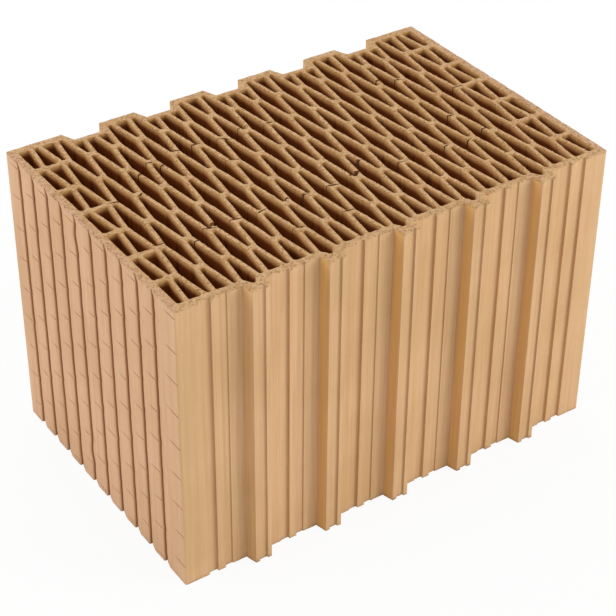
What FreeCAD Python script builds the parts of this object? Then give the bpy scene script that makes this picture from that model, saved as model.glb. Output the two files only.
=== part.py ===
"""Hollow clay block for a 38 cm wall: one extruded and fired piece, standing on its bed face.

X runs along the length, between the two keyed wall faces. Y runs across the width, from the head face with
tongues (-Y) to the head face with grooves (+Y). Z is up, and the holes run right through along it.
The origin is at the centre of the bottom of the block's box. Lengths are in millimetres.
"""
import FreeCAD, Part
import math
import os
import Sketcher

# Counts of what repeats
TONGUES = 5
COLUMNS_PER_TONGUE = 3
ROW_PAIRS = 3
KEYS = 10
COLUMNS = COLUMNS_PER_TONGUE * (TONGUES + 1)
BANDS = 2 * ROW_PAIRS + 1

# Driving sizes
SIZES = {
    "length": 380,  # between the two keyed faces
    "width": 248,  # between the two head faces, without the tongues
    "height": 249,
    "corner_radius": 1.5,  # upright corners of the block
    "end_wall": 7,  # behind a keyed face
    "head_wall": 7,  # behind a head face
    "groove_wall": 4.5,  # behind the floor of a groove
    "lattice_inset": 2.75,  # from a head face to the outer line of the lattice
    "web": 3.4,  # slanted web, measured along the length
    "node_clay": 9.7,  # between two holes side by side
    "tip_clay": 5.6,  # between two holes end to end
    "cross_web": 4.6,  # web across the two outer columns
    "tongue_height": 8.5,
    "tongue_crest": 14,  # width of a tongue at its crest
    "tongue_base": 18.5,  # width of a tongue at the head face
    "tongue_wall": 9,  # between the crest and the hole inside a tongue
    "tongue_hole": 5,  # width of the round end of that hole
    "groove_depth": 12,
    "groove_floor": 22.5,
    "groove_mouth": 32.5,
    "key_front": 30.75,  # from the tongued head face to the first key slot
    "key_back": 18.5,  # from the last key slot to the grooved head face
    "key_slot": 0.9,  # width of a key slot
    "key_depth": 3.5,
    "key_step": 2,  # drop of the face on the tongue side of a slot
    "key_rise": 7.5,  # run of that drop
    "key_lip": 0.6,  # bevel of the edge on the groove side of a slot
    "corner_strip": 20.75,  # plain strip of the tongued face beside each corner
    "rib": 6.3,  # width of the rib halfway between two tongues
    "rib_height": 2.1,  # of a rib above its floor
    "shelf_reach": 21.5,  # from the middle of a tongue to the end of the shelf beside it
    "shelf_depth": 1.2,
    "crest_groove": 7,  # width of the shallow groove in a tongue's crest
    "crest_groove_depth": 1.6,
}

doc = FreeCAD.newDocument("clay_block")
sheet = doc.addObject("Spreadsheet::Sheet", "Sizes")
for row, (alias, size) in enumerate(SIZES.items(), start=1):
    sheet.set(f"A{row}", alias)
    sheet.set(f"B{row}", str(size))
    sheet.setAlias(f"B{row}", alias)
doc.recompute()

# The lattice of holes: pitch of its columns and rows, and the shape of one hole
PITCH = f"(Sizes.length / {COLUMNS})"
ROW = f"((Sizes.width - 2 * Sizes.lattice_inset) / {BANDS})"
FRONT = "((Sizes.tongue_height - Sizes.width) / 2)"
BACK = "((Sizes.tongue_height + Sizes.width) / 2)"
HALF_WIDTH = f"(({PITCH} - Sizes.node_clay) / 2)"
REACH = f"({ROW} - Sizes.tip_clay / 2)"
SLOPE = f"((Sizes.web + {PITCH} / 2 - Sizes.node_clay) / {ROW})"
TIP = f"({HALF_WIDTH} - {SLOPE} * {REACH})"
WALL_REACH = f"({ROW} + Sizes.lattice_inset - Sizes.head_wall)"
WALL_BASE = "(Sizes.head_wall - Sizes.lattice_inset)"
MODULE = f"({COLUMNS_PER_TONGUE} * {PITCH})"
OVERLAP = "1"
ALONG = "X_Axis"
ACROSS = "Y_Axis"
MIRROR_ENDS = "YZ_Plane"
cutters = []


def value(expression):
    """The number that an expression of the sheet's sizes gives now."""
    return float(sheet.evalExpression(expression))


def column_x(column):
    """Place of a lattice column, counted in half pitches from the -X face."""
    return f"({PITCH} * {column - COLUMNS} / 2)"


def row_y(row):
    """Place of a lattice row: row 0 is the first one inside, row -1 the outer line by the tongues."""
    return f"({FRONT} + Sizes.lattice_inset + {row + 1} * {ROW})"


def half_width_at(distance):
    """Half width of a hole at a distance from its widest line."""
    return f"({HALF_WIDTH} - {SLOPE} * ({distance}))"


def origin_feature(body, role):
    return next(item for item in body.Origin.OriginFeatures if item.Role == role)


def new_sketch(body, name, x, y, z="0"):
    """A level sketch with its own origin at x, y, z."""
    sketch = body.newObject("Sketcher::SketchObject", name)
    sketch.AttachmentSupport = (origin_feature(body, "XY_Plane"), [""])
    sketch.MapMode = "FlatFace"
    sketch.setExpression("AttachmentOffset.Base.x", x)
    sketch.setExpression("AttachmentOffset.Base.y", y)
    sketch.setExpression("AttachmentOffset.Base.z", z)
    return sketch


def tie(sketch, name, kind, edge, point, expression):
    """Holds one coordinate of a point of an edge at an expression."""
    constraint = Sketcher.Constraint(kind, -1, 1, edge, point, value(expression))
    index = sketch.addConstraint(constraint)
    sketch.renameConstraint(index, name)
    sketch.setExpression(f"Constraints.{name}", expression)


def draw_outline(sketch, name, corners, round_after=()):
    """A closed outline through anticlockwise corners, with a half circle after those in round_after."""
    points = [FreeCAD.Vector(value(x), value(y), 0) for x, y in corners]
    edges = []
    for number, start in enumerate(points):
        end = points[(number + 1) % len(points)]
        if number in round_after:
            centre = (start + end) / 2
            turn = math.atan2(start.y - centre.y, start.x - centre.x)
            circle = Part.Circle(centre, FreeCAD.Vector(0, 0, 1), start.distanceToPoint(centre))
            edges.append(sketch.addGeometry(Part.ArcOfCircle(circle, turn, turn + math.pi)))
        else:
            edges.append(sketch.addGeometry(Part.LineSegment(start, end)))
    for number, (x, y) in enumerate(corners):
        sketch.addConstraint(Sketcher.Constraint("Coincident", edges[number - 1], 2, edges[number], 1))
        tie(sketch, f"{name}_x{number}", "DistanceX", edges[number], 1, x)
        tie(sketch, f"{name}_y{number}", "DistanceY", edges[number], 1, y)
        if number in round_after:
            tie(sketch, f"{name}_round{number}", "DistanceY", edges[number], 3, y)


def pad(body, name, sketch, height):
    feature = body.newObject("PartDesign::Pad", name)
    feature.Profile = sketch
    feature.setExpression("Length", height)
    doc.recompute()
    return feature


def repeat(body, feature, *steps):
    """Repeats a feature by steps, each one an axis, a count and a spacing, or a plane to mirror in."""
    group = body.newObject("PartDesign::MultiTransform", feature.Name + "_repeats")
    group.Originals = [feature]
    parts = []
    for number, step in enumerate(steps):
        if step == MIRROR_ENDS:
            part = doc.addObject("PartDesign::Mirrored", f"{feature.Name}_mirror")
            part.MirrorPlane = (origin_feature(body, step), [""])
        else:
            axis, count, spacing = step
            part = doc.addObject("PartDesign::LinearPattern", f"{feature.Name}_step{number}")
            part.Direction = (origin_feature(body, axis), [""])
            part.Mode = "Spacing"
            part.Occurrences = count
            part.setExpression("Offset", spacing)
        body.addObject(part)
        parts.append(part)
    group.Transformations = parts
    body.Tip = group
    doc.recompute()


def start_cutter(name, x, y):
    """The sketch of a cutter, a body of its own that starts just below the bed face."""
    body = doc.addObject("PartDesign::Body", name)
    body.Label = name
    return new_sketch(body, f"{name}_outline", x, y, f"-{OVERLAP}")


def finish_cutter(sketch, *steps):
    """Raises a cutter past the top face and repeats it."""
    body = sketch.getParentGeoFeatureGroup()
    feature = pad(body, f"{body.Label}_prism", sketch, f"Sizes.height + 2 * {OVERLAP}")
    repeat(body, feature, *steps)
    cutters.append(body)


# The solid block, with its upright corners rounded and the tongues of its front head face
HALF_LENGTH = "(Sizes.length / 2)"
FIRST_TONGUE = column_x(2 * COLUMNS_PER_TONGUE)
block = doc.addObject("PartDesign::Body", "clay_block")
block.Label = "clay_block"
block_sketch = new_sketch(block, "block_outline", "0", "0")
draw_outline(block_sketch, "block", [
    (HALF_LENGTH, FRONT),
    (HALF_LENGTH, BACK),
    (f"-{HALF_LENGTH}", BACK),
    (f"-{HALF_LENGTH}", FRONT),
])
solid = pad(block, "solid", block_sketch, "Sizes.height")
uprights = [
    f"Edge{number}" for number, edge in enumerate(solid.Shape.Edges, start=1)
    if abs(edge.Vertexes[0].Z - edge.Vertexes[1].Z) > SIZES["height"] / 2
]
corners = block.newObject("PartDesign::Fillet", "corners")
corners.Base = (solid, uprights)
corners.setExpression("Radius", "Sizes.corner_radius")
doc.recompute()

tongue_sketch = new_sketch(block, "tongue_outline", FIRST_TONGUE, FRONT)
draw_outline(tongue_sketch, "tongue", [
    ("Sizes.tongue_base / 2", OVERLAP),
    ("-Sizes.tongue_base / 2", OVERLAP),
    ("-Sizes.tongue_base / 2", "0"),
    ("-Sizes.tongue_crest / 2", "-Sizes.tongue_height"),
    ("Sizes.tongue_crest / 2", "-Sizes.tongue_height"),
    ("Sizes.tongue_base / 2", "0"),
])
repeat(block, pad(block, "tongue", tongue_sketch, "Sizes.height"), (ALONG, TONGUES, MODULE))

# Grooves of the back head face
groove_sketch = start_cutter("groove", FIRST_TONGUE, BACK)
draw_outline(groove_sketch, "groove", [
    ("Sizes.groove_mouth / 2", "0"),
    ("Sizes.groove_mouth / 2", OVERLAP),
    ("-Sizes.groove_mouth / 2", OVERLAP),
    ("-Sizes.groove_mouth / 2", "0"),
    ("-Sizes.groove_floor / 2", "-Sizes.groove_depth"),
    ("Sizes.groove_floor / 2", "-Sizes.groove_depth"),
])
finish_cutter(groove_sketch, (ALONG, TONGUES, MODULE))


def draw_hole(sketch, name, x, up, down):
    """A hole about x, with its widest line on the sketch's X axis and two round tips, up and down from it."""
    draw_outline(sketch, name, [
        (f"{x} + {HALF_WIDTH}", "0"),
        (f"{x} + {TIP}", f"{up} - {TIP}"),
        (f"{x} - {TIP}", f"{up} - {TIP}"),
        (f"{x} - {HALF_WIDTH}", "0"),
        (f"{x} - {TIP}", f"{TIP} - {down}"),
        (f"{x} + {TIP}", f"{TIP} - {down}"),
    ], round_after=(1, 4))


def draw_half_hole(sketch, name, x, line, side, base, reach):
    """Half a hole about x, on one side of its widest line, with a flat base and a round tip."""
    base_half = half_width_at(base)
    base_y = f"{line} + {side} * ({base})"
    tip_y = f"{line} + {side} * ({reach} - {TIP})"
    draw_outline(sketch, name, [
        (f"{x} + {side} * {base_half}", base_y),
        (f"{x} + {side} * {TIP}", tip_y),
        (f"{x} - {side} * {TIP}", tip_y),
        (f"{x} - {side} * {base_half}", base_y),
    ], round_after=(1,))


def draw_end_cell(sketch, name, low, low_half, high, high_half):
    """A cell of the outer column: straight along the keyed wall, slanted along the first web."""
    wall = f"Sizes.end_wall - {PITCH} / 2"
    draw_outline(sketch, name, [
        (wall, low),
        (low_half, low),
        (high_half, high),
        (wall, high),
    ])


# Full holes of the inner rows
EVEN_COLUMNS = COLUMNS - 2
ODD_COLUMNS = COLUMNS - 3
LAST_ROW = 2 * ROW_PAIRS - 1
even_sketch = start_cutter("even_row_hole", column_x(3), row_y(2))
draw_hole(even_sketch, "hole", "0", REACH, REACH)
finish_cutter(even_sketch, (ALONG, EVEN_COLUMNS, PITCH), (ACROSS, ROW_PAIRS - 1, f"2 * {ROW}"))

odd_sketch = start_cutter("odd_row_hole", column_x(4), row_y(1))
draw_hole(odd_sketch, "hole", "0", REACH, REACH)
finish_cutter(odd_sketch, (ALONG, ODD_COLUMNS, PITCH), (ACROSS, ROW_PAIRS - 1, f"2 * {ROW}"))

# Full holes of the first and last rows, whose outer tips stop at the head walls
front_row_sketch = start_cutter("front_row_hole", column_x(3), row_y(0))
draw_hole(front_row_sketch, "hole", "0", REACH, WALL_REACH)
finish_cutter(front_row_sketch, (ALONG, EVEN_COLUMNS, PITCH))

back_row_sketch = start_cutter("back_row_hole", FIRST_TONGUE, row_y(LAST_ROW))
draw_hole(back_row_sketch, "left", f"-{PITCH}", WALL_REACH, REACH)
draw_hole(back_row_sketch, "right", PITCH, WALL_REACH, REACH)
finish_cutter(back_row_sketch, (ALONG, TONGUES, MODULE))

# Half holes along the front wall, and the longer ones that run on into the tongues
front_half_sketch = start_cutter("front_half_hole", column_x(3), row_y(-1))
for name, x in (("left", f"-{PITCH} / 2"), ("right", f"{PITCH} / 2")):
    draw_half_hole(front_half_sketch, name, x, "0", "1", WALL_BASE, REACH)
finish_cutter(front_half_sketch, (ALONG, TONGUES + 1, MODULE))

TONGUE_END = "(Sizes.lattice_inset + Sizes.tongue_height - Sizes.tongue_wall)"
TONGUE_HALF = "(Sizes.tongue_hole / 2)"
tongue_hole_sketch = start_cutter("tongue_hole", FIRST_TONGUE, row_y(-1))
draw_outline(tongue_hole_sketch, "hole", [
    (half_width_at(WALL_BASE), WALL_BASE),
    (TIP, f"{REACH} - {TIP}"),
    (f"-{TIP}", f"{REACH} - {TIP}"),
    (f"-{half_width_at(WALL_BASE)}", WALL_BASE),
    (f"-{TONGUE_HALF}", f"{TONGUE_HALF} - {TONGUE_END}"),
    (TONGUE_HALF, f"{TONGUE_HALF} - {TONGUE_END}"),
], round_after=(1, 4))
finish_cutter(tongue_hole_sketch, (ALONG, TONGUES, MODULE))

# Half holes along the back wall, and the holes cut short behind the grooves
back_half_sketch = start_cutter("back_half_hole", column_x(3), row_y(LAST_ROW + 1))
draw_half_hole(back_half_sketch, "hole", "0", "0", "-1", WALL_BASE, REACH)
finish_cutter(back_half_sketch, (ALONG, TONGUES + 1, MODULE))

GROOVE_BASE = "(Sizes.groove_depth + Sizes.groove_wall - Sizes.lattice_inset)"
groove_half_sketch = start_cutter("groove_half_hole", FIRST_TONGUE, row_y(LAST_ROW + 1))
for name, x in (("left", f"-{PITCH} / 2"), ("right", f"{PITCH} / 2")):
    draw_half_hole(groove_half_sketch, name, x, "0", "-1", GROOVE_BASE, REACH)
finish_cutter(groove_half_sketch, (ALONG, TONGUES, MODULE))

GROOVE_REACH = f"({ROW} - {GROOVE_BASE})"
groove_hole_sketch = start_cutter("groove_hole", FIRST_TONGUE, row_y(LAST_ROW))
draw_outline(groove_hole_sketch, "hole", [
    (HALF_WIDTH, "0"),
    (half_width_at(GROOVE_REACH), GROOVE_REACH),
    (f"-{half_width_at(GROOVE_REACH)}", GROOVE_REACH),
    (f"-{HALF_WIDTH}", "0"),
    (f"-{TIP}", f"{TIP} - {REACH}"),
    (TIP, f"{TIP} - {REACH}"),
], round_after=(4,))
finish_cutter(groove_hole_sketch, (ALONG, TONGUES, MODULE))

# The two outer columns at each end, with a cross web on every row
CROSS = "(Sizes.cross_web / 2)"
WIDE = half_width_at(CROSS)
NEXT_COLUMN = f"({PITCH} / 2)"
even_band_sketch = start_cutter("end_even_band", column_x(1), row_y(0))
draw_end_cell(even_band_sketch, "outer", CROSS, WIDE, REACH, TIP)
draw_half_hole(even_band_sketch, "inner", NEXT_COLUMN, ROW, "-1", CROSS, REACH)
finish_cutter(even_band_sketch, (ACROSS, ROW_PAIRS, f"2 * {ROW}"), MIRROR_ENDS)

odd_band_sketch = start_cutter("end_odd_band", column_x(1), row_y(1))
draw_end_cell(odd_band_sketch, "outer", f"{ROW} - {REACH}", TIP, f"{ROW} - {CROSS}", WIDE)
draw_half_hole(odd_band_sketch, "inner", NEXT_COLUMN, "0", "1", CROSS, REACH)
finish_cutter(odd_band_sketch, (ACROSS, ROW_PAIRS - 1, f"2 * {ROW}"), MIRROR_ENDS)

front_band_sketch = start_cutter("end_front_band", column_x(1), row_y(0))
draw_end_cell(front_band_sketch, "outer", f"-{WALL_REACH}", TIP, f"-{CROSS}", WIDE)
finish_cutter(front_band_sketch, MIRROR_ENDS)

back_band_sketch = start_cutter("end_back_band", column_x(1), row_y(LAST_ROW))
draw_end_cell(back_band_sketch, "outer", f"{ROW} - {REACH}", TIP, WALL_REACH, half_width_at(WALL_BASE))
draw_half_hole(back_band_sketch, "inner", NEXT_COLUMN, "0", "1", CROSS, WALL_REACH)
finish_cutter(back_band_sketch, MIRROR_ENDS)

# Plaster keys of the two wall faces: a narrow slot each, with the face sloping down to its tongue side
KEY_PITCH = f"((Sizes.width - Sizes.key_front - Sizes.key_back) / {KEYS - 1})"
SLOT_HALF = "(Sizes.key_slot / 2)"
KEY_START = f"-({SLOT_HALF} + Sizes.key_rise)"
KEY_END = f"({SLOT_HALF} + Sizes.key_lip)"
key_sketch = start_cutter("key", f"-{HALF_LENGTH}", f"{FRONT} + Sizes.key_front")
draw_outline(key_sketch, "key", [
    (f"-{OVERLAP}", KEY_START),
    ("0", KEY_START),
    ("Sizes.key_step", f"-{SLOT_HALF}"),
    ("Sizes.key_depth", f"-{SLOT_HALF}"),
    ("Sizes.key_depth", SLOT_HALF),
    ("Sizes.key_lip", SLOT_HALF),
    ("0", KEY_END),
    (f"-{OVERLAP}", KEY_END),
])
finish_cutter(key_sketch, (ACROSS, KEYS, KEY_PITCH), MIRROR_ENDS)

# Ribs of the tongued face, left between floors that step up to a shelf on both sides of each tongue
RIB_SIDE = f"({MODULE} / 2 - Sizes.rib / 2)"
TONGUE_FOOT = "(Sizes.tongue_base / 2)"
rib_floor_sketch = start_cutter("rib_floor", FIRST_TONGUE, FRONT)
draw_outline(rib_floor_sketch, "right", [
    (TONGUE_FOOT, f"-{OVERLAP}"),
    (RIB_SIDE, f"-{OVERLAP}"),
    (RIB_SIDE, "Sizes.rib_height"),
    ("Sizes.shelf_reach", "Sizes.rib_height"),
    ("Sizes.shelf_reach", "Sizes.shelf_depth"),
    (TONGUE_FOOT, "Sizes.shelf_depth"),
])
draw_outline(rib_floor_sketch, "left", [
    (f"-{RIB_SIDE}", f"-{OVERLAP}"),
    (f"-{TONGUE_FOOT}", f"-{OVERLAP}"),
    (f"-{TONGUE_FOOT}", "Sizes.shelf_depth"),
    ("-Sizes.shelf_reach", "Sizes.shelf_depth"),
    ("-Sizes.shelf_reach", "Sizes.rib_height"),
    (f"-{RIB_SIDE}", "Sizes.rib_height"),
])
finish_cutter(rib_floor_sketch, (ALONG, TONGUES, MODULE))

corner_floor_sketch = start_cutter("corner_floor", f"-{HALF_LENGTH}", FRONT)
draw_outline(corner_floor_sketch, "floor", [
    ("Sizes.corner_strip", f"-{OVERLAP}"),
    (RIB_SIDE, f"-{OVERLAP}"),
    (RIB_SIDE, "Sizes.rib_height"),
    ("Sizes.corner_strip", "Sizes.rib_height"),
])
finish_cutter(corner_floor_sketch, MIRROR_ENDS)

crest_groove_sketch = start_cutter("crest_groove", FIRST_TONGUE, f"{FRONT} - Sizes.tongue_height")
draw_outline(crest_groove_sketch, "groove", [
    ("-Sizes.crest_groove / 2", f"-{OVERLAP}"),
    ("Sizes.crest_groove / 2", f"-{OVERLAP}"),
    ("Sizes.crest_groove / 2", "Sizes.crest_groove_depth"),
    ("-Sizes.crest_groove / 2", "Sizes.crest_groove_depth"),
])
finish_cutter(crest_groove_sketch, (ALONG, TONGUES, MODULE))

# Cut the block, check the whole document, then write the block
uncut_volume = block.Shape.Volume
cuts = block.newObject("PartDesign::Boolean", "cuts")
cuts.Type = "Cut"
cuts.Refine = False
cuts.setObjects(cutters)
block.Tip = cuts
doc.recompute()
failed = [item.Name for item in doc.Objects if {"Invalid", "Error"} & set(item.State)]
if failed:
    raise RuntimeError(f"failed features: {failed}")
if block.Shape.isNull() or not block.Shape.isValid() or len(block.Shape.Solids) != 1:
    raise RuntimeError("the block is not one valid solid")
if block.Shape.Volume >= uncut_volume:
    raise RuntimeError("the cuts took no clay away")
os.makedirs("parts", exist_ok=True)
block.Shape.exportStep(f"parts/{block.Label}.step")
box = block.Shape.BoundBox
print(f"{block.Label}: {box.XLength:.2f} x {box.YLength:.2f} x {box.ZLength:.2f} mm")
print(f"clay {block.Shape.Volume / 1e6:.3f} litres, {len(block.Shape.Faces)} faces")
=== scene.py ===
"""Dresses the packed clay block as a fired one: worn rims, wavy webs, torn keys, cracks and sandy clay.

Lengths are in metres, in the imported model's frame: +X along the length, +Y from the tongued face to the
grooved one, +Z up along the holes. Sizes given in millimetres are multiplied by MM.
"""
import math

import bpy
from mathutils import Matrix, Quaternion, Vector


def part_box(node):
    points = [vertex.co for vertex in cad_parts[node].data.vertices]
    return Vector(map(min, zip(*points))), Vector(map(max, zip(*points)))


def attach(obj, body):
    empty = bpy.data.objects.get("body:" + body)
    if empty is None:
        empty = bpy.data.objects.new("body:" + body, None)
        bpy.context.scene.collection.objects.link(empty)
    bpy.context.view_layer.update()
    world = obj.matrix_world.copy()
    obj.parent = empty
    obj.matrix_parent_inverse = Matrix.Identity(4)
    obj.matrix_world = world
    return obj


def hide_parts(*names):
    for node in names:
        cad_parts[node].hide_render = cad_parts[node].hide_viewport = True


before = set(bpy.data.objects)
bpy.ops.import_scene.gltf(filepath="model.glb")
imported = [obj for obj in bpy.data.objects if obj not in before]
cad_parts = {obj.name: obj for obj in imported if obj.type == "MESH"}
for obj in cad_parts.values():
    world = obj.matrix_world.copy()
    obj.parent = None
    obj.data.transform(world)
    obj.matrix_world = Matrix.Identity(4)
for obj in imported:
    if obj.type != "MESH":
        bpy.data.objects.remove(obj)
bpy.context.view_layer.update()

MM = 0.001
SEED = 7

# Points closer together than this are one point, and lie on one level
NEAR = 0.01 * MM

# Noise seldom strays more than a third from its middle, so times this it strays by about one
NOISE_GAIN = 3.0

# The block's own sizes, which the relief follows
BLOCK = "clay_block"
LOW, HIGH = (Vector(corner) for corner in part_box(BLOCK))
LENGTH = HIGH.x - LOW.x
HEIGHT = HIGH.z - LOW.z
TONGUE_HEIGHT = 8.5 * MM
FRONT = LOW.y + TONGUE_HEIGHT
BACK = HIGH.y
WIDTH = BACK - FRONT

# The lattice of holes: nodes of clay stand where column and row add up to an even number
LATTICE_COLUMNS = 18
LATTICE_BANDS = 7
LATTICE_INSET = 2.75 * MM
COLUMN_STEP = LENGTH / LATTICE_COLUMNS / 2
ROW_STEP = (WIDTH - 2 * LATTICE_INSET) / LATTICE_BANDS

# The plaster keys on both wall faces: slots, and strips of clay that slope down from one to the next
KEYS = 10
KEY_FIRST = FRONT + 30.75 * MM
KEY_LAST = BACK - 18.5 * MM
KEY_STEP = (KEY_LAST - KEY_FIRST) / (KEYS - 1)
KEY_DROP = 2 * MM
KEY_DEPTH = 3.5 * MM

# One slot of the left wall face is kinked, at two levels, each with its reach up and down
KINKED_SLOT = KEY_FIRST + 5 * KEY_STEP
KINKS = ((233 * MM, 15 * MM), (30 * MM, 12 * MM))

# The tears across the key strips lie in level rows, higher on every second strip
TEAR_ROWS = 9
TEAR_SPACING = 28 * MM
TEAR_TOP_EVEN = 242.75 * MM
TEAR_TOP_ODD = 228.5 * MM

# The tongues of the front face
TONGUES = 5
TONGUE_STEP = LENGTH / (TONGUES + 1)
TONGUE_CREST = 14 * MM

# Cracks across the webs of the upper face: a column and row of the lattice, and mm beyond it along X and Y
CRACKS = (
    (24, 4, 0.5, 3), (30, 4, -3, 1.5), (28, 4, 3.5, 9), (33, 3, -1, 1), (30, 2, -3.5, 1.5),
    (29, 1, -4.5, -1.5), (27, 1, -3, 0.5), (23, 1, -5, 1.5), (31, 1, -3.5, 6), (10, 4, 2.5, 3.5),
    (8, 4, -2, -1), (8, 4, 3.5, -9.5), (6, 4, 4.5, -12), (3, 3, 3, -1), (5, 3, 2, -1.5),
    (14, 4, -0.5, -1.5), (16, 4, -1.5, 5.5), (18, 4, -0.5, 0), (13, 3, -1, 3.5), (13, 1, 2, 5),
    (9, 1, -0.5, 1.5), (7, 1, -1, 2), (15, 1, -5.5, 3), (12, 4, -2.5, 3), (5, 1, 4.5, -7),
    (11, 1, -0.5, 0.5), (17, 1, -1, 1.5), (3, 1, 1, 3.5), (16, 0, 0, 1.5), (12, 0, 0, 2.5),
)
# Webs that are broken right through, given in the same way, with a gap so many times as wide as a crack
BREAKS = ((20, 2, 1.5, -14.5), (19, 1, 1, 6.5), (7, 1, 4.5, 4.5))
BREAK_WIDTH = 3.0

# Colours of the clay, in linear light
CLAY_DARK = (0.60, 0.385, 0.197, 1.0)
CLAY_PALE = (0.66, 0.427, 0.233, 1.0)
KEYED_DARK = (0.61, 0.383, 0.23, 1.0)
KEYED_PALE = (0.66, 0.42, 0.265, 1.0)
# Painted warm shade on the tongues' flanks, which face away from the key lamp
FLANK_SHADE_GOLD = (0.70, 0.385, 0.122, 1.0)
STREAK_BROWN = (0.50, 0.285, 0.135, 1.0)
GRAIN_BROWN = (0.36, 0.19, 0.085, 1.0)
TORN_BROWN = (0.40, 0.21, 0.085, 1.0)
CRUMB_BROWN = (0.26, 0.11, 0.04, 1.0)
HOLE_RIM = (0.49, 0.265, 0.10, 1.0)
# Painted shade: the hole walls darken from their darker, redder clay at the rim to this deep down
HOLE_DEEP_SHADE = (0.15, 0.029, 0.001, 1.0)
# Painted shade in the key slots and in the tears across the key strips
SLOT_SHADE_BROWN = (0.33, 0.125, 0.042, 1.0)
# Painted shade in the cracks
CRACK_SHADE_BROWN = (0.12, 0.035, 0.01, 1.0)

# Blobs to the metre in the clay's patterns
PATCH_SCALE = 14.0
TORN_SCALE = 260.0
STREAK_SCALE = 420.0
CRUMB_SCALE = 620.0
GRAIN_SCALE = 1500.0

# How much of each pattern's colour covers the clay at most
STREAK_SHARE = 0.42
GRAIN_SHARE = 0.5
TORN_SHARE = 0.45
CRUMB_SHARE = 0.75
# Shares of painted shade in the holes, over their redder clay, and in the slots
HOLE_SHARE = 0.97
SLOT_LIP_SHADE = 0.35
SLOT_FLOOR_SHADE = 0.8
# How much painted warm shade the tongue flanks get, the first one less
FIRST_FLANK_SHADE_SHARE = 0.35
FLANK_SHADE_SHARE = 0.8

# Depths below the faces over which the clay changes colour: at the cut ends, and in the holes and slots, where
# painted shade deepens
CUT_DEPTHS = (1.2 * MM, 1.6 * MM)
HOLE_SHADE_DEPTHS = (0.3 * MM, 6 * MM)
SLOT_SHADE_DEPTHS = (0.7 * MM, 1.7 * MM)

# The clay's gloss, and its finest relief
CLAY_ROUGHNESS = 0.92
CLAY_SPECULAR = 0.06
STREAK_RELIEF = 0.12 * MM
GRAIN_RELIEF = 0.10 * MM
RELIEF_STRENGTH = 0.8

# Studio: a white floor and surround, one soft lamp from the right and weaker ones to fill
FLOOR_HALF = 4.0
FLOOR_GAP = 0.3 * MM
FLOOR_SHADE = 0.08
FLOOR_WHITE = (0.88, 0.88, 0.88, 1.0)
WHITE = (1.0, 1.0, 1.0, 1.0)
SKY = 0.71
LAMP_AIM = Vector((0.0, 0.0, 0.12))
CAMERA_PLACE = Vector((-0.6644, -0.9704, 0.9455))
CAMERA_AIM = Vector((0.09, 0.1332, -0.0085))
CAMERA_ROLL = 0.0086
CAMERA_LENS = 105.8
CAMERA_SENSOR = 36.0


class Nodes:
    """Adds nodes to one tree and links what feeds them."""

    def __init__(self, tree):
        self.tree = tree

    def add(self, kind, feeds=None, out=0, **settings):
        """Adds a node, feeds its sockets, given by name or number, and returns its output."""
        node = self.tree.nodes.new(kind)
        for name, value in settings.items():
            setattr(node, name, value)
        for socket, value in (feeds or {}).items():
            self.feed(node.inputs[socket], value)
        return node.outputs[out]

    def feed(self, socket, value):
        """Links an output to a socket, or sets the socket to a plain value."""
        if isinstance(value, bpy.types.NodeSocket):
            self.tree.links.new(value, socket)
        else:
            socket.default_value = value

    def maths(self, operation, *values):
        """One step of arithmetic on numbers."""
        return self.add("ShaderNodeMath", dict(enumerate(values)), operation=operation)

    def product(self, first, *others):
        """Several numbers multiplied together."""
        for other in others:
            first = self.maths("MULTIPLY", first, other)
        return first

    def vector(self, operation, *values):
        """One step of arithmetic on vectors."""
        feeds = dict(enumerate(values))
        if operation == "SCALE":
            feeds = {0: values[0], "Scale": values[1]}
        out = "Value" if operation in ("DISTANCE", "DOT_PRODUCT") else 0
        return self.add("ShaderNodeVectorMath", feeds, out=out, operation=operation)

    def combine(self, x=0.0, y=0.0, z=0.0):
        """A vector from three numbers."""
        return self.add("ShaderNodeCombineXYZ", {"X": x, "Y": y, "Z": z})

    def split(self, vector):
        """The three numbers of a vector."""
        return self.add("ShaderNodeSeparateXYZ", {"Vector": vector}).node.outputs

    def ramp(self, value, start, end, low=0.0, high=1.0, shape="SMOOTHSTEP"):
        """Goes from low to high as the value goes from start to end, and stays there beyond."""
        feeds = {"Value": value, "From Min": start, "From Max": end, "To Min": low, "To Max": high}
        return self.add("ShaderNodeMapRange", feeds, interpolation_type=shape)

    def noise(self, vector, scale, detail=2.0, roughness=0.5, out="Fac"):
        """Smooth noise, scale blobs to the metre."""
        feeds = {"Vector": vector, "Scale": scale, "Detail": detail, "Roughness": roughness}
        return self.add("ShaderNodeTexNoise", feeds, out=out)


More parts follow.
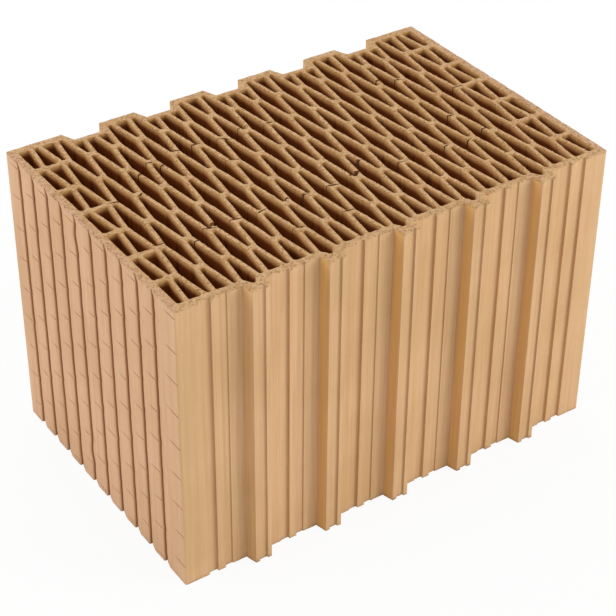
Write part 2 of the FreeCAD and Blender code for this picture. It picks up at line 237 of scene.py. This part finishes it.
class ShapeTree(Nodes):
    """A tree of geometry nodes with named inputs."""

    KINDS = {float: "NodeSocketFloat", int: "NodeSocketInt"}

    def __init__(self, name, **inputs):
        super().__init__(bpy.data.node_groups.new(name, "GeometryNodeTree"))
        face = self.tree.interface
        face.new_socket("Geometry", in_out="INPUT", socket_type="NodeSocketGeometry")
        for label, value in inputs.items():
            kind = self.KINDS.get(type(value)) or "NodeSocket" + type(value).__name__
            face.new_socket(label, in_out="INPUT", socket_type=kind)
        face.new_socket("Geometry", in_out="OUTPUT", socket_type="NodeSocketGeometry")
        self.values = inputs
        self.given = self.tree.nodes.new("NodeGroupInput").outputs
        self.position = self.add("GeometryNodeInputPosition")
        self.index = self.add("GeometryNodeInputIndex")

    def join(self, *geometries):
        """Several geometries as one."""
        node = self.tree.nodes.new("GeometryNodeJoinGeometry")
        for geometry in geometries:
            self.tree.links.new(geometry, node.inputs[0])
        return node.outputs[0]

    def merge(self, geometry):
        """A mesh whose loose pieces are joined where they meet."""
        return self.add("GeometryNodeMergeByDistance", {"Geometry": geometry, "Distance": NEAR})

    def move(self, geometry, offset, selection=True):
        """Shifts the points of a geometry."""
        feeds = {"Geometry": geometry, "Selection": selection, "Offset": offset}
        return self.add("GeometryNodeSetPosition", feeds)

    def place(self, geometry, position):
        """Puts the points of a geometry in new places."""
        return self.add("GeometryNodeSetPosition", {"Geometry": geometry, "Position": position})

    def shift(self, geometry, translation):
        """Shifts a whole geometry."""
        return self.add("GeometryNodeTransform", {"Geometry": geometry, "Translation": translation})

    def scatter(self, points, shape, turn, size):
        """A turned and stretched copy of a shape on each point, as one plain mesh."""
        feeds = {"Points": points, "Instance": shape, "Rotation": turn, "Scale": size}
        copies = self.add("GeometryNodeInstanceOnPoints", feeds)
        return self.add("GeometryNodeRealizeInstances", {"Geometry": copies})

    def mark(self, geometry, name, value):
        """Stores a share of one finish or of painted shade on the faces, which the clay's material reads."""
        feeds = {"Geometry": geometry, "Name": name, "Value": value}
        return self.add("GeometryNodeStoreNamedAttribute", feeds, data_type="FLOAT", domain="FACE")

    def stored(self, name, kind):
        """What an attribute of the geometry holds."""
        return self.add("GeometryNodeInputNamedAttribute", {"Name": name}, data_type=kind)

    def beside(self, step):
        """Where the point lies that comes so many steps after this one on its curve."""
        follower = self.add("GeometryNodeOffsetPointInCurve", {"Offset": step}, out="Point Index")
        feeds = {"Value": self.position, "Index": follower}
        return self.add("GeometryNodeFieldAtIndex", feeds, data_type="FLOAT_VECTOR", domain="POINT")

    def random(self, low, high, draw):
        """A random number for each point; draw keeps one use of the seed apart from the next."""
        seed = self.maths("ADD", self.given["seed"], float(draw))
        feeds = {2: low, 3: high, "ID": self.index, "Seed": seed}
        return self.add("FunctionNodeRandomValue", feeds, out=1, data_type="FLOAT")

    def finish(self, geometry):
        """Ends the tree in one realized geometry with its material."""
        geometry = self.add("GeometryNodeRealizeInstances", {"Geometry": geometry})
        feeds = {"Geometry": geometry, "Material": self.given["material"]}
        geometry = self.add("GeometryNodeSetMaterial", feeds)
        self.tree.links.new(geometry, self.tree.nodes.new("NodeGroupOutput").inputs[0])
        return self

    def grow(self, name, mesh):
        """Runs the tree on a mesh and returns a new object that holds the plain result."""
        source = bpy.data.objects.new(name + "_source", mesh)
        bpy.context.scene.collection.objects.link(source)
        modifier = source.modifiers.new("grow", "NODES")
        modifier.node_group = self.tree
        for item in self.tree.interface.items_tree:
            if item.in_out == "INPUT" and item.name in self.values:
                modifier[item.identifier] = self.values[item.name]
        evaluated = source.evaluated_get(bpy.context.evaluated_depsgraph_get())
        result = bpy.data.meshes.new_from_object(evaluated)
        result.name = name
        source.modifiers.remove(modifier)
        bpy.data.objects.remove(source)
        grown = bpy.data.objects.new(name, result)
        bpy.context.scene.collection.objects.link(grown)
        return grown


def key_tears(material):
    """Thin tears across the key strips of both wall faces, as bodies to cut away, which leave painted shade in
    the cuts.
    """
    t = ShapeTree(
        "key_tears", strips=KEYS + 1, rows=TEAR_ROWS, spacing=TEAR_SPACING, top_even=TEAR_TOP_EVEN,
        top_odd=TEAR_TOP_ODD, from_slot=2 * MM, to_corner=6 * MM, half_length=11.5 * MM, shortest=0.75,
        longest=1.15, half_depth=1.1 * MM, half_width=0.55 * MM, darkness=0.5, seed=SEED, material=material)
    stray_y = 1.0 * MM
    stray_z = 0.8 * MM
    tilt = math.radians(4)
    given = t.given
    per_face = t.maths("MULTIPLY", given["strips"], given["rows"])
    points = t.add("GeometryNodeMeshLine", {"Count": t.maths("MULTIPLY", per_face, 2.0)})
    face = t.maths("FLOOR", t.maths("DIVIDE", t.index, per_face))
    end = t.maths("MULTIPLY_ADD", face, 2.0, -1.0)
    number = t.maths("MODULO", t.index, per_face)
    strip = t.maths("FLOOR", t.maths("DIVIDE", number, given["rows"]))
    row = t.maths("MODULO", number, given["rows"])
    slot = t.maths("MULTIPLY_ADD", strip, KEY_STEP, KEY_FIRST - KEY_STEP)
    nearer = t.maths("MULTIPLY", t.maths("LESS_THAN", strip, 0.5), given["to_corner"])
    slot = t.maths("SUBTRACT", slot, nearer)
    y = t.maths("ADD", t.maths("ADD", slot, given["from_slot"]), t.random(-stray_y, stray_y, 1))
    top = top_tear(t, strip, given["top_even"], given["top_odd"])
    z = t.maths("SUBTRACT", top, t.maths("MULTIPLY", row, given["spacing"]))
    z = t.maths("ADD", z, t.random(-stray_z, stray_z, 2))
    points = t.place(points, t.combine(t.maths("MULTIPLY", end, LENGTH / 2), y, z))
    spindle = t.add("GeometryNodeMeshUVSphere", {"Segments": 8, "Rings": 6, "Radius": 1.0})
    turn = t.combine(t.random(-tilt, tilt, 3))
    reach = t.maths("MULTIPLY", given["half_length"], t.random(given["shortest"], given["longest"], 4))
    size = t.combine(given["half_depth"], reach, given["half_width"])
    # The tears carry painted shade into their cuts
    tears = t.mark(t.scatter(points, spindle, turn, size), "slot", given["darkness"])
    return t.finish(tears).grow("key_tears", bpy.data.meshes.new("nothing"))


def top_tear(t, strip, even, odd):
    """The level of the highest tear on a strip."""
    return t.ramp(t.maths("MODULO", strip, 2.0), 0.0, 1.0, even, odd, shape="LINEAR")


def web_cracks(material):
    """Upright blades that cut the cracks and breaks into the upper face, and leave painted shade in them."""
    t = ShapeTree(
        "web_cracks", half_length=6 * MM, half_width=0.9 * MM, depth=11 * MM, tip=0.15, shortest=0.7,
        longest=1.15, shallowest=0.6, deepest=1.2, zigzag=1.5 * MM, zigzag_scale=420.0, darkness=0.85,
        seed=SEED, material=material)
    turn_back = math.radians(-35)
    turn_forward = math.radians(15)
    given = t.given
    halves = (given["half_length"], given["half_width"], given["depth"])
    size = t.combine(*(t.maths("MULTIPLY", half, 2.0) for half in halves))
    blade = t.add("GeometryNodeMeshCube", {"Size": size, "Vertices X": 9, "Vertices Y": 2, "Vertices Z": 5})
    x, y, z = t.split(t.position)
    along = t.maths("DIVIDE", t.maths("ABSOLUTE", x), given["half_length"])
    down = t.maths("DIVIDE", t.maths("ABSOLUTE", z), given["depth"])
    thin = t.product(*(t.ramp(share, 0.0, 1.0, 1.0, given["tip"]) for share in (along, down)))
    blade = t.place(blade, t.combine(x, t.maths("MULTIPLY", y, thin), z))
    turn = t.combine(z=t.random(turn_back, turn_forward, 1))
    long = t.random(given["shortest"], given["longest"], 2)
    deep = t.random(given["shallowest"], given["deepest"], 3)
    stretch = t.combine(long, t.stored("width", "FLOAT"), deep)
    blades = t.scatter(given["Geometry"], blade, turn, stretch)
    drawn = t.vector("MULTIPLY", t.position, (1.0, 1.0, 0.3))
    jag = t.maths("SUBTRACT", t.noise(drawn, given["zigzag_scale"]), 0.5)
    jag = t.maths("MULTIPLY", jag, t.maths("MULTIPLY", given["zigzag"], 2.0))
    # The cracks carry painted shade
    blades = t.mark(t.move(blades, t.combine(y=jag)), "crack", given["darkness"])
    spots = bpy.data.meshes.new("crack_spots")
    spots.from_pydata([crack_spot(*crack) for crack in CRACKS + BREAKS], [], [])
    widths = spots.attributes.new("width", "FLOAT", "POINT")
    widths.data.foreach_set("value", [1.0] * len(CRACKS) + [BREAK_WIDTH] * len(BREAKS))
    return t.finish(blades).grow("web_cracks", spots)


def crack_spot(column, row, beyond_x, beyond_y):
    """Where a crack lies on the upper face."""
    x = (column - LATTICE_COLUMNS) * COLUMN_STEP + beyond_x * MM
    y = FRONT + LATTICE_INSET + (row + 1) * ROW_STEP + beyond_y * MM
    return x, y, HEIGHT


def fired_block(material, **cutters):
    """The whole block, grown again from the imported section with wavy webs, worn rims and wandering slots."""
    t = ShapeTree(
        "fired_block", height=HEIGHT, hole_step=1.7 * MM, outer_step=6 * MM, hole_levels=4, outer_levels=64,
        corner=1.6 * MM, web_wave=0.5 * MM, wave_scale=38.0, hole_rim=0.5 * MM, outer_rim=0.35 * MM,
        least_wear=0.2, most_wear=2.4, wear_scale=300.0, rim_dip=1.1 * MM, dip_scale=330.0,
        slot_wander=0.45 * MM, wander_scale=90.0, kink=1.8 * MM, jog=0.65 * MM, jog_scale=60.0,
        smear=0.8, smear_reach=6.5 * MM, material=material, **cutters)
    sharp_angle = math.radians(60)
    holes, outer = section_curves(t)
    block = worn_shell(t, t.move(holes, web_wave(t)), outer)
    block = t.move(block, slot_wander(t))
    cuts = [t.add("GeometryNodeObjectInfo", {"Object": t.given[name]}, out="Geometry") for name in cutters]
    block = t.add("GeometryNodeMeshBoolean", {"Mesh 1": block, "Mesh 2": t.join(*cuts)},
                  operation="DIFFERENCE", solver="MANIFOLD")
    block = t.add("GeometryNodeSetShadeSmooth", {"Geometry": block, "Shade Smooth": True}, domain="FACE")
    sharp = t.maths("GREATER_THAN", t.add("GeometryNodeInputMeshEdgeAngle"), sharp_angle)
    feeds = {"Geometry": block, "Selection": sharp, "Shade Smooth": False}
    block = t.add("GeometryNodeSetShadeSmooth", feeds, domain="EDGE")
    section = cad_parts[BLOCK].data.copy()
    return t.finish(block).grow("fired_clay_block", section)


def section_curves(t):
    """The outlines of the holes and of the outside, with the clay on their left, cut into even steps."""
    longest_hole = 0.5
    on_top = t.maths("GREATER_THAN", t.split(t.position)["Z"], HEIGHT - NEAR)
    feeds = {"Geometry": t.merge(t.given["Geometry"]), "Selection": on_top}
    upper = t.add("GeometryNodeSeparateGeometry", feeds, domain="FACE")
    on_rim = t.maths("LESS_THAN", t.add("GeometryNodeInputMeshEdgeNeighbors"), 1.5)
    curves = t.add("GeometryNodeMeshToCurve", {"Mesh": upper, "Selection": on_rim})
    curves = t.place(curves, t.vector("MULTIPLY", t.position, (1.0, 1.0, 0.0)))
    beyond = t.beside(1)
    sweep = t.split(t.vector("CROSS_PRODUCT", t.position, beyond))["Z"]
    spline = t.add("GeometryNodeCurveOfPoint", out="Curve Index")
    area = t.add("GeometryNodeAccumulateField", {"Value": sweep, "Group ID": spline}, out="Total",
                 data_type="FLOAT", domain="POINT")
    is_outer = t.maths("GREATER_THAN", t.add("GeometryNodeSplineLength"), longest_hole)
    turned = t.maths("LESS_THAN", t.maths("MULTIPLY", area, t.maths("SUBTRACT", is_outer, 0.5)), 0.0)
    curves = t.add("GeometryNodeReverseCurve", {"Curve": curves, "Selection": turned})
    gap = t.vector("DISTANCE", t.position, beyond)
    parts = []
    for name, selected in (("hole_step", t.maths("LESS_THAN", is_outer, 0.5)), ("outer_step", is_outer)):
        feeds = {"Geometry": curves, "Selection": selected}
        part = t.add("GeometryNodeSeparateGeometry", feeds, domain="CURVE")
        if name == "hole_step":
            part = rounded(t, part)
        cuts = t.maths("FLOOR", t.maths("DIVIDE", gap, t.given[name]))
        parts.append(t.add("GeometryNodeSubdivideCurve", {"Curve": part, "Cuts": cuts}))
    return parts


def rounded(t, curves):
    """Outlines with their square corners rounded."""
    nearly_straight = -0.75
    corner_points = 3.0
    ways = [t.vector("NORMALIZE", t.vector("SUBTRACT", t.beside(step), t.position)) for step in (-1, 1)]
    square = t.maths("GREATER_THAN", t.vector("DOT_PRODUCT", *ways), nearly_straight)
    feeds = {
        "Curve": curves, "Count": t.maths("MULTIPLY", square, corner_points),
        "Radius": t.maths("MULTIPLY", square, t.given["corner"]), "Limit Radius": True}
    return t.add("GeometryNodeFilletCurve", feeds, mode="POLY")


def web_wave(t):
    """How far the outlines of the holes stray from the straight."""
    wave = t.vector("SUBTRACT", t.noise(t.position, t.given["wave_scale"], out="Color"), (0.5, 0.5, 0.5))
    wave = t.vector("SCALE", wave, t.maths("MULTIPLY", t.given["web_wave"], NOISE_GAIN))
    return t.vector("MULTIPLY", wave, (1.0, 1.0, 0.0))


def worn_shell(t, holes, outer):
    """Upright walls along the outlines and a face at either end, closed, with rims worn back and dipped."""
    given = t.given
    outlines = []
    walls = []
    for is_hole, curves, rim, levels in (
            (1.0, holes, given["hole_rim"], given["hole_levels"]),
            (0.0, outer, given["outer_rim"], given["outer_levels"])):
        tangent = t.split(t.add("GeometryNodeInputTangent"))
        side = t.combine(t.maths("MULTIPLY", tangent["Y"], -1.0), tangent["X"])
        feeds = {"Geometry": curves, "Name": "into_clay", "Value": t.vector("SCALE", side, rim)}
        curves = t.add("GeometryNodeStoreNamedAttribute", feeds, data_type="FLOAT_VECTOR", domain="POINT")
        outlines.append(curves)
        wall = t.add("GeometryNodeCurveToMesh", {"Curve": rail(t, levels, rim), "Profile Curve": curves})
        wall = t.mark(wall, "hole", is_hole)
        # The slot walls carry painted shade
        walls.append(t.mark(wall, "slot", t.maths("MULTIPLY", in_slots(t), 1.0 - is_hole)))
    upright = t.split(t.position)["Z"]
    at_top = t.maths("GREATER_THAN", upright, HEIGHT - NEAR)
    at_bottom = t.maths("LESS_THAN", upright, NEAR)
    at_rim = t.maths("MAXIMUM", at_top, at_bottom)
    wear = t.noise(t.position, given["wear_scale"], detail=4.0, roughness=0.7)
    wear = t.ramp(wear, 0.3, 0.75, given["least_wear"], given["most_wear"])
    worn = t.vector("SCALE", t.stored("into_clay", "FLOAT_VECTOR"), wear)
    walls = t.move(t.join(*walls), worn, at_rim)
    # A filled outline lies at level zero, so the upper one, worn at its own level, is lifted twice
    lift = t.combine(z=given["height"])
    lower = t.move(t.join(*outlines), worn)
    upper = t.move(t.shift(t.join(*outlines), lift), worn)
    lower = t.add("GeometryNodeFlipFaces", {"Mesh": t.add("GeometryNodeFillCurve", {"Curve": lower})})
    upper = t.shift(t.add("GeometryNodeFillCurve", {"Curve": upper}), lift)
    shell = t.merge(t.join(walls, lower, upper))
    dip = t.noise(t.position, given["dip_scale"], detail=3.0, roughness=0.6)
    dip = t.ramp(dip, 0.5, 0.8, 0.0, given["rim_dip"])
    inward = t.maths("SUBTRACT", at_bottom, at_top)
    return t.move(shell, t.combine(z=t.maths("MULTIPLY", dip, inward)), at_rim)


def rail(t, levels, rim):
    """An upright line for a wall to follow, with a level close to either end."""
    line = t.add("GeometryNodeMeshLine", {"Count": levels})
    last = t.maths("SUBTRACT", levels, 1.0)
    inner = t.maths("SUBTRACT", last, 1.0)
    top = t.maths("SUBTRACT", t.given["height"], rim)
    z = t.ramp(t.index, 1.0, inner, rim, top, shape="LINEAR")
    first = t.maths("MULTIPLY", t.maths("LESS_THAN", t.index, 0.5), rim)
    final = t.maths("MULTIPLY", t.maths("GREATER_THAN", t.index, t.maths("SUBTRACT", last, 0.5)), rim)
    z = t.maths("ADD", t.maths("SUBTRACT", z, first), final)
    return t.add("GeometryNodeMeshToCurve", {"Mesh": t.place(line, t.combine(z=z))})


def in_slots(t):
    """One on the walls of the key slots, below the lowest line of the keyed faces, where the slots get painted
    shade.
    """
    lip = 0.9 * MM
    past_floor = 0.5 * MM
    past_drop = 0.2 * MM
    x, y, _ = t.split(t.position)
    reach = t.maths("ABSOLUTE", x)
    sunk = t.maths("LESS_THAN", reach, LENGTH / 2 - lip)
    keyed = t.maths("GREATER_THAN", reach, LENGTH / 2 - KEY_DEPTH - past_floor)
    after_first = t.maths("GREATER_THAN", y, KEY_FIRST - KEY_STEP / 2)
    before_last = t.maths("LESS_THAN", y, KEY_LAST + KEY_STEP / 2)
    facing = t.split(t.add("GeometryNodeInputNormal"))["Y"]
    steep = t.maths("GREATER_THAN", t.maths("ABSOLUTE", facing), 0.5)
    floor = t.maths("LESS_THAN", reach, LENGTH / 2 - KEY_DROP - past_drop)
    return t.product(sunk, keyed, after_first, before_last, t.maths("MAXIMUM", steep, floor))


def slot_wander(t):
    """How far the keyed faces' slots stray sideways, one most of all, and are smeared shut at the top."""
    deepest, all_above = 4.6 * MM, 4.4 * MM
    none_within, all_beyond = 4 * MM, 14 * MM
    kink_core, kink_edge = 2 * MM, 9 * MM
    smear_end = HEIGHT - 1.5 * MM
    given = t.given
    x, y, z = t.split(t.position)
    reach = t.maths("ABSOLUTE", x)
    keyed = t.ramp(reach, LENGTH / 2 - deepest, LENGTH / 2 - all_above)
    clear_of_front = t.ramp(y, FRONT + none_within, FRONT + all_beyond)
    clear_of_back = t.ramp(y, BACK - all_beyond, BACK - none_within, 1.0, 0.0)
    mask = t.maths("MULTIPLY", keyed, t.maths("MULTIPLY", clear_of_front, clear_of_back))
    drawn = t.vector("MULTIPLY", t.position, (0.0, 0.6, 1.0))
    stray = t.maths("SUBTRACT", t.noise(drawn, given["wander_scale"]), 0.5)
    stray = t.maths("MULTIPLY", stray, t.maths("MULTIPLY", given["slot_wander"], NOISE_GAIN))
    from_kinked = t.maths("ABSOLUTE", t.maths("SUBTRACT", y, KINKED_SLOT))
    beside = t.ramp(from_kinked, kink_core, kink_edge, 1.0, 0.0)
    kinks = t.maths("ADD", *(bulge(t, z, level, extent) for level, extent in KINKS))
    on_left = t.maths("LESS_THAN", x, 0.0)
    kink = t.product(kinks, beside, on_left, given["kink"])
    smear_start = t.maths("SUBTRACT", HEIGHT, given["smear_reach"])
    closing = t.ramp(z, smear_start, smear_end, 0.0, given["smear"])
    filled = t.maths("MULTIPLY", t.maths("SUBTRACT", LENGTH / 2, reach), closing)
    outward = t.maths("MULTIPLY", t.maths("SIGN", x), filled)
    sideways = t.maths("ADD", t.maths("ADD", stray, kink), slot_jog(t, y, z))
    return t.combine(*(t.maths("MULTIPLY", mask, shift) for shift in (outward, sideways)))


def slot_jog(t, y, z):
    """How far the tears push the slots' edges aside, some more than others."""
    jog_core, jog_edge = 0.5 * MM, 4 * MM
    most_forward, most_back = -1.0, 0.2
    strip = t.maths("ROUND", t.maths("DIVIDE", t.maths("SUBTRACT", y, KEY_FIRST - KEY_STEP), KEY_STEP))
    top = top_tear(t, strip, TEAR_TOP_EVEN, TEAR_TOP_ODD)
    from_tear = t.maths("PINGPONG", t.maths("SUBTRACT", top, z), TEAR_SPACING / 2)
    beside = t.ramp(from_tear, jog_core, jog_edge, 1.0, 0.0)
    uneven = t.noise(t.position, t.given["jog_scale"], detail=1.0)
    uneven = t.ramp(uneven, 0.35, 0.65, most_forward, most_back)
    return t.product(beside, uneven, t.given["jog"])


def bulge(t, value, centre, reach):
    """Rises from 0 to 1 at the centre and falls again over the reach."""
    return t.ramp(t.maths("ABSOLUTE", t.maths("SUBTRACT", value, centre)), 0.0, reach, 1.0, 0.0)


def fired_clay():
    """Sandy fired clay, streaked along the extrusion and speckled, with painted shade in the holes, slots,
    tears and cracks and a painted warm shade on the tongue flanks.
    """
    material = bpy.data.materials.new("fired_clay")
    material.use_nodes = True
    n = Nodes(material.node_tree)
    shader = material.node_tree.nodes["Principled BSDF"]
    shader.inputs["Roughness"].default_value = CLAY_ROUGHNESS
    shader.inputs["Specular IOR Level"].default_value = CLAY_SPECULAR
    place = n.add("ShaderNodeTexCoord", out="Object")
    x, y, z = n.split(place)
    inward = n.maths("SUBTRACT", LENGTH / 2, n.maths("ABSOLUTE", x))
    depth = n.maths("MINIMUM", z, n.maths("SUBTRACT", HEIGHT, z))
    # The slot and crack attributes carry painted shade; the hole one marks the hole walls
    in_hole, slot_shade, crack_shade = (
        n.add("ShaderNodeAttribute", out="Fac", attribute_name=name) for name in ("hole", "slot", "crack"))
    near_cut = n.ramp(depth, *CUT_DEPTHS, 1.0, 0.0)
    on_cut = n.maths("MULTIPLY", near_cut, n.maths("SUBTRACT", 1.0, in_hole))
    # Painted shade in the slots, more of it towards their floor
    slot_shade = n.maths("MULTIPLY", slot_shade, n.ramp(inward, *SLOT_SHADE_DEPTHS, SLOT_LIP_SHADE, SLOT_FLOOR_SHADE))

    patches = n.ramp(n.noise(place, PATCH_SCALE, detail=3.0), 0.35, 0.65)
    drawn = n.vector("MULTIPLY", place, (1.0, 1.0, 0.02))
    streaks = n.noise(drawn, STREAK_SCALE, detail=3.0, roughness=0.65)
    grain = n.noise(place, GRAIN_SCALE)
    torn = n.ramp(n.noise(place, TORN_SCALE, roughness=0.6), 0.45, 0.64)
    crumbs = n.ramp(n.noise(place, CRUMB_SCALE, detail=3.0, roughness=0.7), 0.53, 0.62)

    colour = mix(n, patches, CLAY_DARK, CLAY_PALE)
    colour = mix(n, keyed_face(n, y, inward), colour, mix(n, patches, KEYED_DARK, KEYED_PALE))
    # Painted warm shade on the tongue flanks
    colour = mix(n, golden_flank(n, x, y), colour, FLANK_SHADE_GOLD)
    colour = mix(n, n.ramp(streaks, 0.35, 0.7, 0.0, STREAK_SHARE), colour, STREAK_BROWN)
    colour = mix(n, n.ramp(grain, 0.62, 0.8, 0.0, GRAIN_SHARE), colour, GRAIN_BROWN)
    colour = mix(n, n.product(torn, on_cut, TORN_SHARE), colour, TORN_BROWN)
    # Painted shade: the hole walls darken with depth, over their redder clay
    hole_clay_and_shade = mix(n, n.ramp(depth, *HOLE_SHADE_DEPTHS), HOLE_RIM, HOLE_DEEP_SHADE)
    colour = mix(n, n.maths("MULTIPLY", in_hole, HOLE_SHARE), colour, hole_clay_and_shade)
    colour = mix(n, n.product(crumbs, near_cut, CRUMB_SHARE), colour, CRUMB_BROWN)
    # Painted shade in the slots and tears
    colour = mix(n, slot_shade, colour, SLOT_SHADE_BROWN)
    # Painted shade in the cracks
    colour = mix(n, crack_shade, colour, CRACK_SHADE_BROWN)
    n.feed(shader.inputs["Base Color"], colour)

    reliefs = ((streaks, STREAK_RELIEF), (grain, GRAIN_RELIEF))
    height = n.maths("ADD", *(n.maths("MULTIPLY", pattern, relief) for pattern, relief in reliefs))
    bump = n.add("ShaderNodeBump", {"Height": height, "Strength": RELIEF_STRENGTH, "Distance": 1.0})
    n.feed(shader.inputs["Normal"], bump)
    return material


def keyed_face(n, y, inward):
    """One on the keyed wall faces, as deep as their slots, and none at the head faces."""
    all_above, none_below = KEY_DEPTH + 0.3 * MM, KEY_DEPTH + 0.6 * MM
    head_fade = 3 * MM
    shallow = n.ramp(inward, all_above, none_below, 1.0, 0.0)
    behind_front = n.ramp(y, FRONT, FRONT + head_fade)
    before_back = n.ramp(y, BACK - head_fade, BACK, 1.0, 0.0)
    return n.maths("MULTIPLY", shallow, n.maths("MULTIPLY", behind_front, before_back))


def golden_flank(n, x, y):
    """The flanks of the tongues, painted a deeper yellow as warm shade, less so on the first tongue."""
    crest_edge = TONGUE_CREST / 2
    crest_fade = 0.5 * MM
    all_before, none_behind = FRONT - 0.6 * MM, FRONT - 0.1 * MM
    first_ends, second_starts = -TONGUE_STEP * 1.5, -TONGUE_STEP * 1.4
    across = n.maths("PINGPONG", x, TONGUE_STEP / 2)
    beside_crest = n.ramp(across, crest_edge, crest_edge + crest_fade)
    proud = n.ramp(y, all_before, none_behind, 1.0, 0.0)
    share = n.ramp(x, first_ends, second_starts, FIRST_FLANK_SHADE_SHARE, FLANK_SHADE_SHARE)
    return n.product(beside_crest, proud, share)


def mix(n, factor, under, over):
    """One colour laid over another."""
    return n.add("ShaderNodeMix", {0: factor, 6: under, 7: over}, out=2, data_type="RGBA")


def make_block():
    """The dressed block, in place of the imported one."""
    clay = fired_clay()
    cutters = {"tears": key_tears(clay), "cracks": web_cracks(clay)}
    block = fired_block(clay, **cutters)
    for cutter in cutters.values():
        bpy.data.objects.remove(cutter)
    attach(block, "root")
    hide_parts(BLOCK)


def seen_directly(n):
    """One for rays that show the surround itself: from the camera, or by way of gloss or glass."""
    rays = n.add("ShaderNodeLightPath").node.outputs
    glossy = n.maths("MAXIMUM", rays["Is Glossy Ray"], rays["Is Transmission Ray"])
    return n.maths("MAXIMUM", rays["Is Camera Ray"], glossy)


def make_floor():
    """A white floor that keeps a soft shadow."""
    mesh = bpy.data.meshes.new("floor")
    level = LOW.z - FLOOR_GAP
    corners = [(x * FLOOR_HALF, y * FLOOR_HALF, level) for x, y in ((-1, -1), (1, -1), (1, 1), (-1, 1))]
    mesh.from_pydata(corners, [], [(0, 1, 2, 3)])
    floor = bpy.data.objects.new("floor", mesh)
    bpy.context.scene.collection.objects.link(floor)
    material = bpy.data.materials.new("white_floor")
    material.use_nodes = True
    n = Nodes(material.node_tree)
    matte = material.node_tree.nodes["Principled BSDF"]
    matte.inputs["Base Color"].default_value = FLOOR_WHITE
    matte.inputs["Roughness"].default_value = 1.0
    white = n.add("ShaderNodeEmission", {"Color": WHITE, "Strength": 1.0})
    share = n.maths("MULTIPLY", seen_directly(n), 1.0 - FLOOR_SHADE)
    blend = n.add("ShaderNodeMixShader", {0: share, 1: matte.outputs[0], 2: white})
    n.feed(material.node_tree.nodes["Material Output"].inputs["Surface"], blend)
    mesh.materials.append(material)


def make_sky():
    """An even white surround."""
    world = bpy.data.worlds.new("white_surround")
    world.use_nodes = True
    bpy.context.scene.world = world
    n = Nodes(world.node_tree)
    background = world.node_tree.nodes["Background"]
    background.inputs["Color"].default_value = WHITE
    n.feed(background.inputs["Strength"], n.ramp(seen_directly(n), 0.0, 1.0, SKY, 1.0, shape="LINEAR"))


def make_lamp(name, place, size, power):
    """A square soft lamp that faces the block."""
    data = bpy.data.lights.new(name, "AREA")
    data.size = size
    data.energy = power
    lamp = bpy.data.objects.new(name, data)
    lamp.location = place
    lamp.rotation_euler = (LAMP_AIM - Vector(place)).to_track_quat("-Z", "Y").to_euler()
    bpy.context.scene.collection.objects.link(lamp)


def make_camera():
    """A long lens at the photograph's place."""
    data = bpy.data.cameras.new("camera")
    data.sensor_width = CAMERA_SENSOR
    data.lens = CAMERA_LENS
    camera = bpy.data.objects.new("camera", data)
    camera.location = CAMERA_PLACE
    towards = (CAMERA_AIM - CAMERA_PLACE).to_track_quat("-Z", "Y")
    camera.rotation_euler = (towards @ Quaternion((0.0, 0.0, 1.0), CAMERA_ROLL)).to_euler()
    bpy.context.scene.collection.objects.link(camera)
    bpy.context.scene.camera = camera


make_block()
make_floor()
make_sky()
make_lamp("key", place=(2.2, -2.1, 1.3), size=1.8, power=54.0)
make_lamp("fill", place=(-2.1, 0.65, 1.0), size=1.2, power=17.0)
make_lamp("back", place=(0.7, 2.6, 1.0), size=1.5, power=26.0)
make_camera()
bpy.context.scene.view_settings.view_transform = "Standard"
